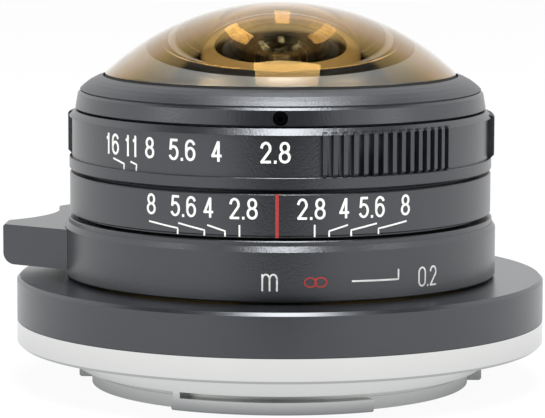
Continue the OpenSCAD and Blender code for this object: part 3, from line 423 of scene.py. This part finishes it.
def turned_metal(name, hex_colour, roughness, feed_mm, ridge_mm, milled_r=0.0):
    """Polished metal with tool rings: a noise along radius plus height, with cells of feed_mm and
    ridge_mm deep. The roughness wanders from 0.8 to 1.25 times its value over 3 mm smears, and
    nearer to the axis than milled_r mm it is SATIN."""
    material, tree = new_material(name)
    place = add_node(tree, "ShaderNodeTexCoord").outputs["Object"]
    flat = add_node(tree, "ShaderNodeVectorMath", {0: place, 1: (1, 1, 0)}, operation="MULTIPLY")
    radius = add_node(tree, "ShaderNodeVectorMath", {0: flat}, operation="LENGTH").outputs["Value"]
    apart = add_node(tree, "ShaderNodeSeparateXYZ", {0: place})
    along = add_node(tree, "ShaderNodeMath", {0: radius, 1: apart.outputs["Z"]}, operation="ADD")
    tool = add_node(tree, "ShaderNodeTexNoise", {"W": along, "Scale": 1 / (feed_mm * MM), "Detail": 2.0},
                    noise_dimensions="1D")
    bump = add_node(tree, "ShaderNodeBump", {"Height": tool, "Strength": 1.0, "Distance": ridge_mm * MM})
    dull = add_node(tree, "ShaderNodeMapRange", {
        "Value": noise_at(tree, 3.0, Detail=4.0), "From Min": 0.3, "From Max": 0.7,
        "To Min": roughness * 0.8, "To Max": roughness * 1.25})
    polished = add_node(tree, "ShaderNodeMapRange", {
        "Value": radius, "From Min": (milled_r - SATIN_EDGE) * MM, "From Max": milled_r * MM},
        interpolation_type="SMOOTHSTEP")
    satin = add_node(tree, "ShaderNodeMix", {0: polished, 2: SATIN, 3: dull}, data_type="FLOAT")
    metal = add_node(tree, "ShaderNodeBsdfPrincipled", {
        "Base Color": linear(hex_colour), "Metallic": 1.0, "Roughness": satin,
        "Normal": bump.outputs["Normal"]})
    add_node(tree, "ShaderNodeOutputMaterial", {"Surface": metal})
    return material


# The bayonet: bright, with a fine silky line, and satin inside 21.6 mm
STEEL = turned_metal("turned_stainless_steel", "#e2e3e1", 0.12, 0.15, 0.0004, 21.6)
# Screws and pins: nickel plate, greyer and duller than the mount
SCREW_STEEL = turned_metal("nickel_plated_screw_steel", "#b9bab9", 0.22, 0.2, 0.0003)
# The locking screw: steel blackened in hot salts, a dark dull point in its hole
DARK_STEEL = turned_metal("blackened_grub_screw", "#161617", 0.45, 0.2, 0.0005)
# The guide sleeve and the iris actuator: brass as it leaves the lathe, warm and silky
BRASS = turned_metal("bare_brass", "#c8a45a", 0.26, 0.15, 0.0005)
# The blades: spring steel blued by heat, grey with a soft shine
BLADE = turned_metal("blued_spring_steel", "#3c3f45", 0.38, 0.3, 0.0003)
# The ring that holds the front group: its amber colour is a painted reflection, standing for the golden
# ring seen at the rim of the dome's hollow
AMBER_REFLECTION_RING = turned_metal("amber_painted_reflection_ring", "#bfa26a", 0.5, 0.15, 0.0005)
print("metals:", *(metal.name for metal in (STEEL, SCREW_STEEL, DARK_STEEL, BRASS, BLADE, AMBER_REFLECTION_RING)))


# %% [markdown]
# The glass is what the eye goes to. Lens glass is clear, and each surface carries a thin
# anti-reflection coat that tints what it does reflect. Here a refraction shader is mixed with a
# tinted mirror. On the dome the mirror's share follows the angle of view through a curve: a
# trace head on, and more than plain glass from 60 degrees on, where the dome shows its amber
# veil. Blender's own thin film gives one film's colours, and such a coat has several, so the
# curve and the tints were matched to the object. Seen from inside the glass, the share is
# plain Fresnel. The lenses behind the dome have an olive tint and the same curve.

# %% Coated glass
# Share of the mirror and its colour by Layer Weight's Facing, 0 square on and 1 at a grazing angle
SHEEN_SHARES = ((0.0, 0.016), (0.29, 0.026), (0.5, 0.15), (0.56, 0.23), (0.61, 0.31), (0.66, 0.39),
                (0.745, 0.49), (0.82, 0.61), (0.87, 0.71), (0.91, 0.81), (1.0, 1.0))
AMBER_SHEEN = ((0.0, "#ffc878"), (0.29, "#ffcd7c"), (0.56, "#ffd98e"), (0.61, "#ffdaa2"),
               (0.66, "#ffdcba"), (0.70, "#ffe3c4"), (0.745, "#ffe9ce"), (0.78, "#fff1de"),
               (0.82, "#fff2e8"), (0.91, "#fffcf7"))
AMBER_INSIDE = ((0.08, "#ffc46a"), (0.24, "#e4ccb2"), (0.5, "#ddd4d2"))
OLIVE = ((0.0, "#c2c2a8"), (0.5, "#cbc9c2"), (0.9, "#ffffff"))


def coated(name, ior, outer_tints, inner_tints):
    """Clear glass under a tinted mirror. Facing is 1 minus the cosine of the angle of view. The share
    is about 2 % head on, 15 % at 60 degrees, a quarter at 64 and a half at 75, and inside the glass
    it is the Fresnel share of ior."""
    material, tree = new_material(name)
    inside = add_node(tree, "ShaderNodeNewGeometry").outputs["Backfacing"]
    facing = add_node(tree, "ShaderNodeLayerWeight", {"Blend": 0.5}).outputs["Facing"]
    outer = add_node(tree, "ShaderNodeFloatCurve", {"Value": facing})
    points = outer.mapping.curves[0].points
    for place, share in SHEEN_SHARES[1:-1]:
        points.new(place, share)
    points[0].location, points[-1].location = SHEEN_SHARES[0], SHEEN_SHARES[-1]
    outer.mapping.update()
    inner = add_node(tree, "ShaderNodeFresnel", {"IOR": ior})
    share = add_node(tree, "ShaderNodeMix", {0: inside, 2: outer, 3: inner}, data_type="FLOAT")
    colours = []
    for tints in (outer_tints, inner_tints):
        ramp = add_node(tree, "ShaderNodeValToRGB", {"Fac": facing})
        stops = ramp.color_ramp.elements
        while len(stops) < len(tints):
            stops.new(0.5)
        for stop, (position, colour) in zip(stops, tints):
            stop.position, stop.color = position, linear(colour)
        colours.append(ramp.outputs["Color"])
    tint = add_node(tree, "ShaderNodeMix", {0: inside, 6: colours[0], 7: colours[1]}, data_type="RGBA")
    through = add_node(tree, "ShaderNodeBsdfRefraction", {
        "Color": linear("#f8f4ec"), "Roughness": 0.0, "IOR": ior})
    mirror = add_node(tree, "ShaderNodeBsdfGlossy", {"Color": tint.outputs[2], "Roughness": 0.03})
    glass = add_node(tree, "ShaderNodeMixShader", {0: share, 1: through, 2: mirror})
    add_node(tree, "ShaderNodeOutputMaterial", {"Surface": glass})
    return material


# The dome: dense glass with an amber coat that shows as a golden veil
DOME_GLASS = coated("coated_dome_glass", 1.72, AMBER_SHEEN, AMBER_INSIDE)
# The lenses behind it: a quieter olive coat, seen as dim rings of light
LENS_GLASS = coated("coated_optical_glass", 1.65, OLIVE, OLIVE)
print("glass:", DOME_GLASS.name, LENS_GLASS.name)


# %% [markdown]
# Numbers and lines are filled with enamel. The ink stands about two hundredths of a millimetre
# proud and its coat is slightly uneven, which keeps the white from looking like plain paper.

# %% Printing inks
def ink(name, hex_colour):
    """Filled enamel: the colour wanders from 0.88 to 1.08 of itself over 0.15 mm."""
    material, tree = new_material(name)
    enamel = add_node(tree, "ShaderNodeBsdfPrincipled", {
        "Base Color": uneven(tree, hex_colour, 0.15, 2.0, 0.88, 1.08), "Roughness": 0.45})
    add_node(tree, "ShaderNodeOutputMaterial", {"Surface": enamel})
    return material


# White for the aperture and the depth of field, grey for distances, red for the index and infinity
WHITE_INK = ink("white_enamel", "#f2f2ee")
GREY_INK = ink("grey_enamel", "#dededc")
RED_INK = ink("red_enamel", "#a82c2a")
print("inks:", WHITE_INK.name, GREY_INK.name, RED_INK.name)

# %% [markdown]
# ## Finishes on the CAD parts
#
# Each CAD part keeps its shape and takes the finish of its material slot in the record. Three
# parts differ from their slot's finish: the flange is smoother, the bezel is blasted coarser,
# and the front retaining ring is amber, a painted reflection of the golden ring round the hollow.

# %% Assign finishes
FINISHES = {
    "bright_steel": STEEL, "screw_steel": SCREW_STEEL, "dark_steel": DARK_STEEL, "black_metal": BLACK,
    "black_paint": MATT, "brass": BRASS, "front_glass": DOME_GLASS, "optical_glass": LENS_GLASS,
    "seal_rubber": RUBBER, "blade_steel": BLADE,
}
OWN_FINISHES = {"flange_ring": FLANGE_BLACK, "dome_bezel": BEZEL_BLACK, "front_retainer": AMBER_REFLECTION_RING}
slots = {part["node"]: part["material_slot"] for part in frame["record"]["subparts"]}
for name, part in frame["nodes"].items():
    part.data.materials.clear()
    part.data.materials.append(OWN_FINISHES.get(name) or FINISHES.get(slots.get(name), BLACK))
print("slots known:", len(slots))


# %% [markdown]
# ## The dome
#
# The front glass is a deep meniscus: a big sphere outside and a small hollow inside. Seen from the
# side it bends the light strongly, so facets would show at once. A surface of revolution worked
# out as one array is smooth to any fineness, and the mirror and the frost sit on it as materials.

# %% Surfaces of revolution
# Points nearer than this are one point, in metres
WELD = 1e-7


def lathe(name, profile, material_of, materials, turns=256):
    """Revolves a profile of (r, z) points in mm: x = r sin t, y = -r cos t. Points with r = 0 close
    at a pole. material_of gives the material's number for each segment of the profile."""
    profile = np.asarray(profile, float) * MM
    around = np.linspace(0, 2 * math.pi, turns, endpoint=False)
    grid = np.stack([profile[:, :1] * np.sin(around), -profile[:, :1] * np.cos(around),
                     np.repeat(profile[:, 1:], turns, axis=1)], axis=2)
    i, j = np.meshgrid(np.arange(len(profile) - 1), np.arange(turns), indexing="ij")
    k = (j + 1) % turns
    quads = np.stack([i * turns + j, i * turns + k, (i + 1) * turns + k, (i + 1) * turns + j], axis=2)
    mesh = bpy.data.meshes.new(name)
    mesh.from_pydata(grid.reshape(-1, 3).tolist(), [], quads.reshape(-1, 4).tolist())
    mesh.polygons.foreach_set("material_index", np.repeat(np.asarray(material_of, np.int32), turns))
    mesh.polygons.foreach_set("use_smooth", np.ones(len(mesh.polygons), bool))
    for material in materials:
        mesh.materials.append(material)
    shell = bmesh.new()
    shell.from_mesh(mesh)
    bmesh.ops.remove_doubles(shell, verts=shell.verts, dist=WELD)
    bmesh.ops.recalc_face_normals(shell, faces=shell.faces)
    shell.to_mesh(mesh)
    shell.free()
    return into_scene(name, mesh)


def sphere_arc(radius, centre_z, angles):
    """Points on a sphere's section: r = radius sin t, z = centre_z + radius cos t."""
    return np.stack([radius * np.sin(angles), centre_z + radius * np.cos(angles)], axis=1)


# %% Dome glass
low, high = (np.array(corner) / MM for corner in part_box("dome_element"))
DOME_R, DOME_TOP, DOME_BACK = float(high[0]), float(high[2]), float(low[2])
# Radii of the outer sphere and of the hollow, and the glass between them on the axis
DOME_SPHERE, HOLLOW_R, MIDDLE = 27.3, 10.2, 1.7
# The polished part's edge, the height of the shoulder behind it, and the inner edge of the back's frost
POLISHED_R, SHOULDER_Z, FROST_R = DOME_R - 0.6, 28.48, 11.5
POLISHED, PAINTED, GROUND = 0, 1, 2

hollow_z = DOME_TOP - MIDDLE - HOLLOW_R
edge_angle = math.asin(POLISHED_R / DOME_SPHERE)
rim_angle = math.acos((DOME_BACK - hollow_z) / HOLLOW_R)
outer = sphere_arc(DOME_SPHERE, DOME_TOP - DOME_SPHERE, np.linspace(0, edge_angle, 90))
inner = sphere_arc(HOLLOW_R, hollow_z, np.linspace(rim_angle, 0, 60))
edge = np.array([(POLISHED_R, SHOULDER_Z), (DOME_R, SHOULDER_Z), (DOME_R, DOME_BACK), (FROST_R, DOME_BACK)])
surface = ([POLISHED] * (len(outer) - 1) + [PAINTED, PAINTED, PAINTED, GROUND, PAINTED]
           + [POLISHED] * (len(inner) - 1))
dome = lathe("dome_glass", np.vstack([outer, edge, inner]), surface, [DOME_GLASS, MATT, GROUND_GLASS])
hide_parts("dome_element")
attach(dome, "lens_unit")
print("dome r", round(DOME_R, 2), "top", round(DOME_TOP, 2), "back", round(DOME_BACK, 2))


# %% [markdown]
# ## Numbers and lines
#
# The figures are engraved by a cutter that follows a path, so each stroke has the same width
# everywhere. The same idea makes them here: a small rectangle is carried along a path on the
# ring's surface. A figure is a few arcs and lines in a unit box, 0 to 1 both ways, so one set of
# paths serves every size. A font would be quicker, but its strokes swell and its corners are sharp.

# %% Paths of the figures
def arc(cx, cy, rx, ry, start, end, steps=24):
    """Part of an ellipse: x = cx + rx cos t, y = cy + ry sin t, with t in degrees."""
    t = np.radians(np.linspace(start, end, steps))
    return np.stack([cx + rx * np.cos(t), cy + ry * np.sin(t)], axis=1)


def line(*points):
    """A path of straight pieces."""
    return np.array(points, float)


FIGURES = {
    "0": [np.vstack([arc(0.5, 0.72, 0.5, 0.28, 0, 180), arc(0.5, 0.28, 0.5, 0.28, 180, 360),
                     line((1.0, 0.72))])],
    "1": [line((0.62, 0), (0.62, 1)), line((0.62, 0.90), (0.25, 0.80))],
    "2": [np.vstack([arc(0.5, 0.71, 0.46, 0.29, 165, -25), line((0.08, 0.03))]), line((0.08, 0), (0.9, 0))],
    "4": [line((0.72, 0.03), (0.72, 0.97)), line((0.66, 0.97), (0.06, 0.27)),
          line((0.06, 0.27), (0.94, 0.27))],
    "5": [line((0.84, 1), (0.22, 1)), line((0.18, 0.97), (0.1, 0.55)),
          arc(0.47, 0.33, 0.5, 0.33, 135, -145)],
    "6": [arc(0.5, 0.31, 0.48, 0.31, 0, 360, 40), line((0.02, 0.31), (0.02, 0.70)),
          arc(0.5, 0.71, 0.48, 0.29, 180, 30)],
    "8": [arc(0.5, 0.76, 0.42, 0.24, 0, 360, 36), arc(0.5, 0.26, 0.5, 0.26, 0, 360, 36)],
    ".": [line((0.5, -0.01), (0.5, 0.01))],
    "m": [line((0, 0), (0, 0.70)), arc(0.25, 0.50, 0.25, 0.22, 180, 0, 12), line((0.5, 0.50), (0.5, 0)),
          arc(0.75, 0.50, 0.25, 0.22, 180, 0, 12), line((1, 0.50), (1, 0))],
}
print("figures:", " ".join(FIGURES))

# %% [markdown]
# A path becomes a stroke in two steps. Long straight pieces get more points first, so that they
# can bend round the ring. Then the rectangle's four corners are worked out at every point at
# once, and faces join each point's corners to the next one's. The corners are counted so that
# every face looks outwards.

# %% From a path to a solid stroke
# Thickness of the ink and its lift off the ring, the longest straight piece, and the smallest length, in mm
INK_T, INK_LIFT, LONGEST, TINY = 0.02, 0.003, 0.4, 1e-6


def finer(path):
    """Splits every straight piece into equal steps no longer than LONGEST: a + (b - a) k / count."""
    path = np.asarray(path, float)
    pieces = np.diff(path, axis=0)
    counts = np.maximum(1, np.ceil(np.linalg.norm(pieces, axis=1) / LONGEST)).astype(int)
    piece = np.repeat(np.arange(len(counts)), counts)
    k = np.arange(counts.sum()) - np.repeat(np.cumsum(counts) - counts, counts) + 1
    return np.vstack([path[:1], path[piece] + pieces[piece] * (k / counts[piece])[:, None]])


def band_along(path, width):
    """Carries a rectangle along a path of (u, v) in mm. At each point the side vector is the path's
    direction turned by 90 degrees, and an open path is half a width longer at both ends, as a round
    cutter leaves it. Returns points (u, v, lift) and faces."""
    path = np.array(path, float)
    if np.linalg.norm(path[0] - path[-1]) > TINY:
        start, end = path[0] - path[1], path[-1] - path[-2]
        path[0] += start / np.linalg.norm(start) * width / 2
        path[-1] += end / np.linalg.norm(end) * width / 2
    step = np.gradient(path, axis=0)
    step /= np.maximum(np.linalg.norm(step, axis=1, keepdims=True), TINY)
    side = np.stack([-step[:, 1], step[:, 0]], axis=1) * width / 2
    low = np.zeros((len(path), 1))
    corners = np.stack([np.hstack([path + side, low]), np.hstack([path + side, low + INK_T]),
                        np.hstack([path - side, low + INK_T]), np.hstack([path - side, low])], axis=1)
    i, j = np.meshgrid(np.arange(len(path) - 1), np.arange(4), indexing="ij")
    k = (j + 1) % 4
    quads = np.stack([i * 4 + j, i * 4 + k, (i + 1) * 4 + k, (i + 1) * 4 + j], axis=2).reshape(-1, 4)
    last = 4 * (len(path) - 1)
    ends = np.array([[3, 2, 1, 0], [last, last + 1, last + 2, last + 3]])
    return corners.reshape(-1, 3), np.vstack([quads, ends])


# %% [markdown]
# The strokes of one colour on one ring become one piece, which turns with its ring. The flat
# drawing is wrapped round the ring by angle, so nothing is stretched.

# %% Printing on a ring
def print_on_ring(name, radius, strokes, width, material, body):
    """Wraps strokes, given in mm along the circumference and in height, round a ring:
    x = r sin(u/radius), y = -r cos(u/radius), z = v."""
    points, faces, base = [], [], 0
    for path in strokes:
        corners, sides = band_along(finer(path), width)
        points.append(corners)
        faces.append(sides + base)
        base += len(corners)
    flat = np.vstack(points)
    angle = flat[:, 0] / radius
    r = radius + INK_LIFT + flat[:, 2]
    solid = np.stack([r * np.sin(angle), -r * np.cos(angle), flat[:, 1]], axis=1) * MM
    mesh = bpy.data.meshes.new(name)
    mesh.from_pydata(solid.tolist(), [], np.vstack(faces).tolist())
    mesh.materials.append(material)
    piece = into_scene(name, mesh)
    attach(piece, body)
    print(name, "strokes", len(strokes), "faces", len(mesh.polygons))


def figure_strokes(text, azimuth, radius, middle, height, digit_w, stroke, gap=0.2):
    """The strokes of a number whose middle is at an azimuth and a height: each figure's unit box is
    scaled to digit_w by height, less a stroke, and set beside the last one with a gap, all in mm."""
    narrow = {".": stroke, "1": digit_w * 0.72, "m": digit_w * 1.35}
    widths = [narrow.get(c, digit_w) for c in text]
    u = math.radians(azimuth) * radius - (sum(widths) + gap * (len(text) - 1)) / 2
    strokes = []
    for c, w in zip(text, widths):
        scale = np.array([w - stroke, height - stroke])
        start = np.array([u + stroke / 2, middle - height / 2 + stroke / 2])
        strokes += [start + path * scale for path in FIGURES[c]]
        u += w + gap
    return strokes


def on_ring(radius, *points):
    """Turns (azimuth in degrees, height in mm) pairs into a path in mm."""
    return np.array([(math.radians(a) * radius, z) for a, z in points])


# %% [markdown]
# The aperture ring carries the f-numbers, which crowd together towards 16. The two that have no
# room straight above their place have bent leader lines. Azimuths count from the side that faces
# the camera, to the right, and the drawn line is a little thinner than the room kept for it.

# %% Aperture numbers
APERTURE_R, APERTURE_LINE, APERTURE_LEADER = 22.35, 0.27, 0.19
APERTURE_FIGURES = {"middle": 22.72, "height": 2.22, "digit_w": 1.22, "stroke": 0.29}
strokes = []
for text, azimuth in (("16", -51.0), ("11", -43.3), ("8", -36.7), ("5.6", -26.6), ("4", -16.8),
                      ("2.8", -1.3)):
    strokes += figure_strokes(text, azimuth, APERTURE_R, **APERTURE_FIGURES)
print_on_ring("aperture_numbers", APERTURE_R, strokes, APERTURE_LINE, WHITE_INK, "aperture_body")
strokes = [on_ring(APERTURE_R, *path) for path in (
    ((-50.3, 21.22), (-46.0, 20.80), (-46.1, 20.29)), ((-43.3, 21.07), (-41.3, 20.85), (-41.4, 20.30)))]
print_on_ring("aperture_leaders", APERTURE_R, strokes, APERTURE_LEADER, WHITE_INK, "aperture_body")

# %% [markdown]
# The scale ring stands still. It carries the same numbers on both sides of the red index line,
# for the depth of field at each aperture, and a leader under each number.

# %% Depth of field scale
SCALE_R, SCALE_LINE, SCALE_LEADER, INDEX_LINE = 22.6, 0.25, 0.17, 0.35
SCALE_FIGURES = {"middle": 17.0, "height": 2.18, "digit_w": 1.15, "stroke": 0.26}
strokes = []
for text, azimuth in (("8", -35.7), ("5.6", -25.9), ("4", -18.8), ("2.8", -9.5), ("2.8", 8.0), ("4", 16.7),
                      ("5.6", 24.4), ("8", 34.5)):
    strokes += figure_strokes(text, azimuth, SCALE_R, **SCALE_FIGURES)
print_on_ring("depth_of_field_numbers", SCALE_R, strokes, SCALE_LINE, WHITE_INK, "lens_unit")
strokes = [on_ring(SCALE_R, *path) for path in (
    ((-36.2, 15.19), (-27.5, 14.72), (-27.5, 14.2)), ((-27.1, 15.23), (-19.9, 14.67), (-19.9, 14.2)),
    ((-18.9, 15.19), (-14.3, 14.66), (-14.3, 14.2)), ((-10.5, 15.24), (-10.5, 14.21)),
    ((8.9, 15.31), (8.9, 14.21)), ((17.5, 15.26), (12.7, 14.71), (12.7, 14.21)),
    ((25.6, 15.29), (18.6, 14.74), (18.6, 14.21)), ((34.7, 15.32), (26.3, 14.77), (26.3, 14.28)))]
print_on_ring("depth_of_field_leaders", SCALE_R, strokes, SCALE_LEADER, WHITE_INK, "lens_unit")
strokes = [on_ring(SCALE_R, (-0.8, 14.24), (-0.8, 18.34))]
print_on_ring("index_line", SCALE_R, strokes, INDEX_LINE, RED_INK, "lens_unit")

# %% [markdown]
# The focusing ring carries the distances in metres: a red infinity mark of two loops that overlap
# a little, and 0.2 with a leader line. The m says which unit it is.

# %% Focusing scale
FOCUS_R, FOCUS_LINE, INFINITY_LINE = 23.15, 0.18, 0.15
strokes = figure_strokes("m", -2.6, FOCUS_R, middle=9.9, height=2.45, digit_w=1.25, stroke=0.2)
strokes += figure_strokes("0.2", 41.0, FOCUS_R, middle=9.5, height=2.1, digit_w=1.05, stroke=0.2, gap=0.15)
strokes.append(on_ring(FOCUS_R, (18.6, 9.58), (31.5, 9.49), (31.5, 10.46)))
print_on_ring("focusing_scale", FOCUS_R, strokes, FOCUS_LINE, GREY_INK, "focus_body")

# Half the distance between the loops' middles, how far each reaches past that, and half their height
LOOP_APART, LOOP_OVER, LOOP_H = 0.53, 0.08, 0.47
INFINITY_AT, INFINITY_Z = math.radians(9.0) * FOCUS_R, 9.57
strokes = [arc(INFINITY_AT + s * LOOP_APART, INFINITY_Z, LOOP_APART + LOOP_OVER, LOOP_H, 0, 360, 40)
           for s in (-1, 1)]
print_on_ring("infinity_mark", FOCUS_R, strokes, INFINITY_LINE, RED_INK, "focus_body")
